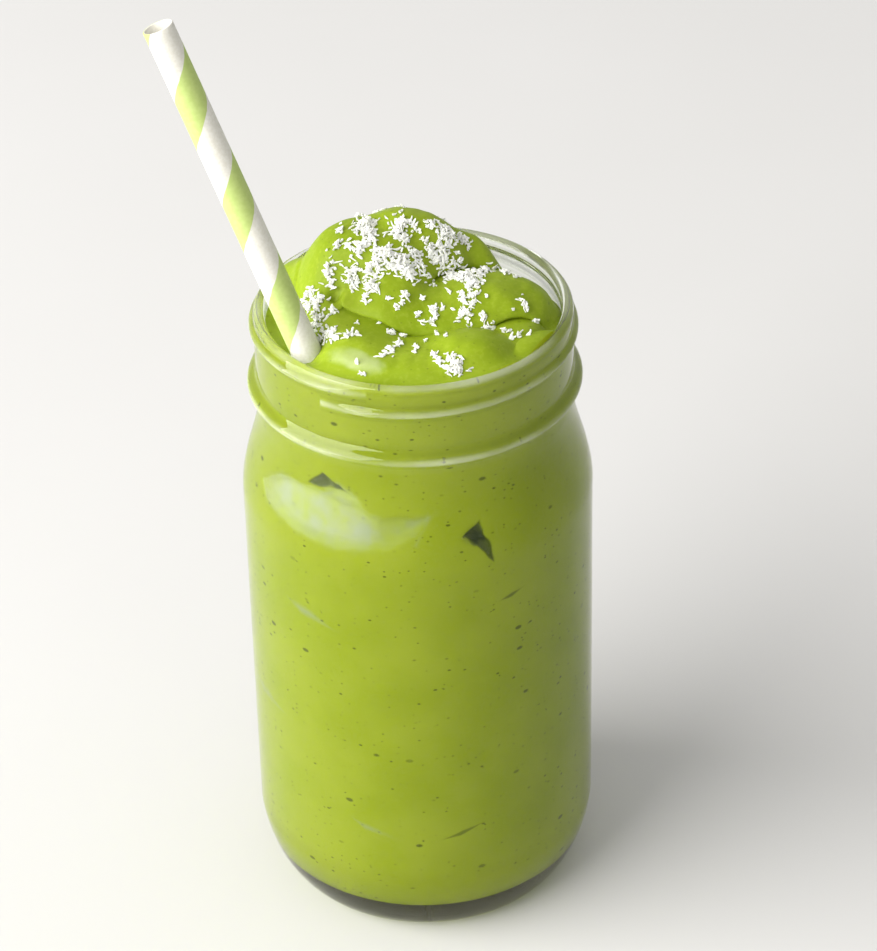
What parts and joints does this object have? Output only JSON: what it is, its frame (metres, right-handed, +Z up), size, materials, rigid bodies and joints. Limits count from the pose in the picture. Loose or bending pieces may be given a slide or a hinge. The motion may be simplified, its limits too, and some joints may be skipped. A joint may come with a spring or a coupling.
{
  "type": "green smoothie in a glass jar",
  "caption": "Thick green smoothie heaped in soft folds over the rim of a wide-mouthed clear glass jar, topped with coconut shreds, with a striped paper straw leaning out.",
  "frame": {"origin": "centre of the jar's flat foot, on the surface that the jar stands on", "axes": "+Z up along the jar's axis, +X to the right as the jar is seen from the front, the straw leaning to -X"},
  "size_m": [0.1093, 0.0926, 0.2628],
  "materials": {
    "glass": "clear, smooth, moulded",
    "smoothie": "thick, moist, softly glossy, with dark specks and white coconut shreds on top",
    "straw_paper": "matt waxed paper, pale green and white spiral stripes"
  },
  "bodies": {
    "root": {"jar": "glass", "smoothie": "smoothie", "straw": "straw_paper"}
  },
  "joints": []
}
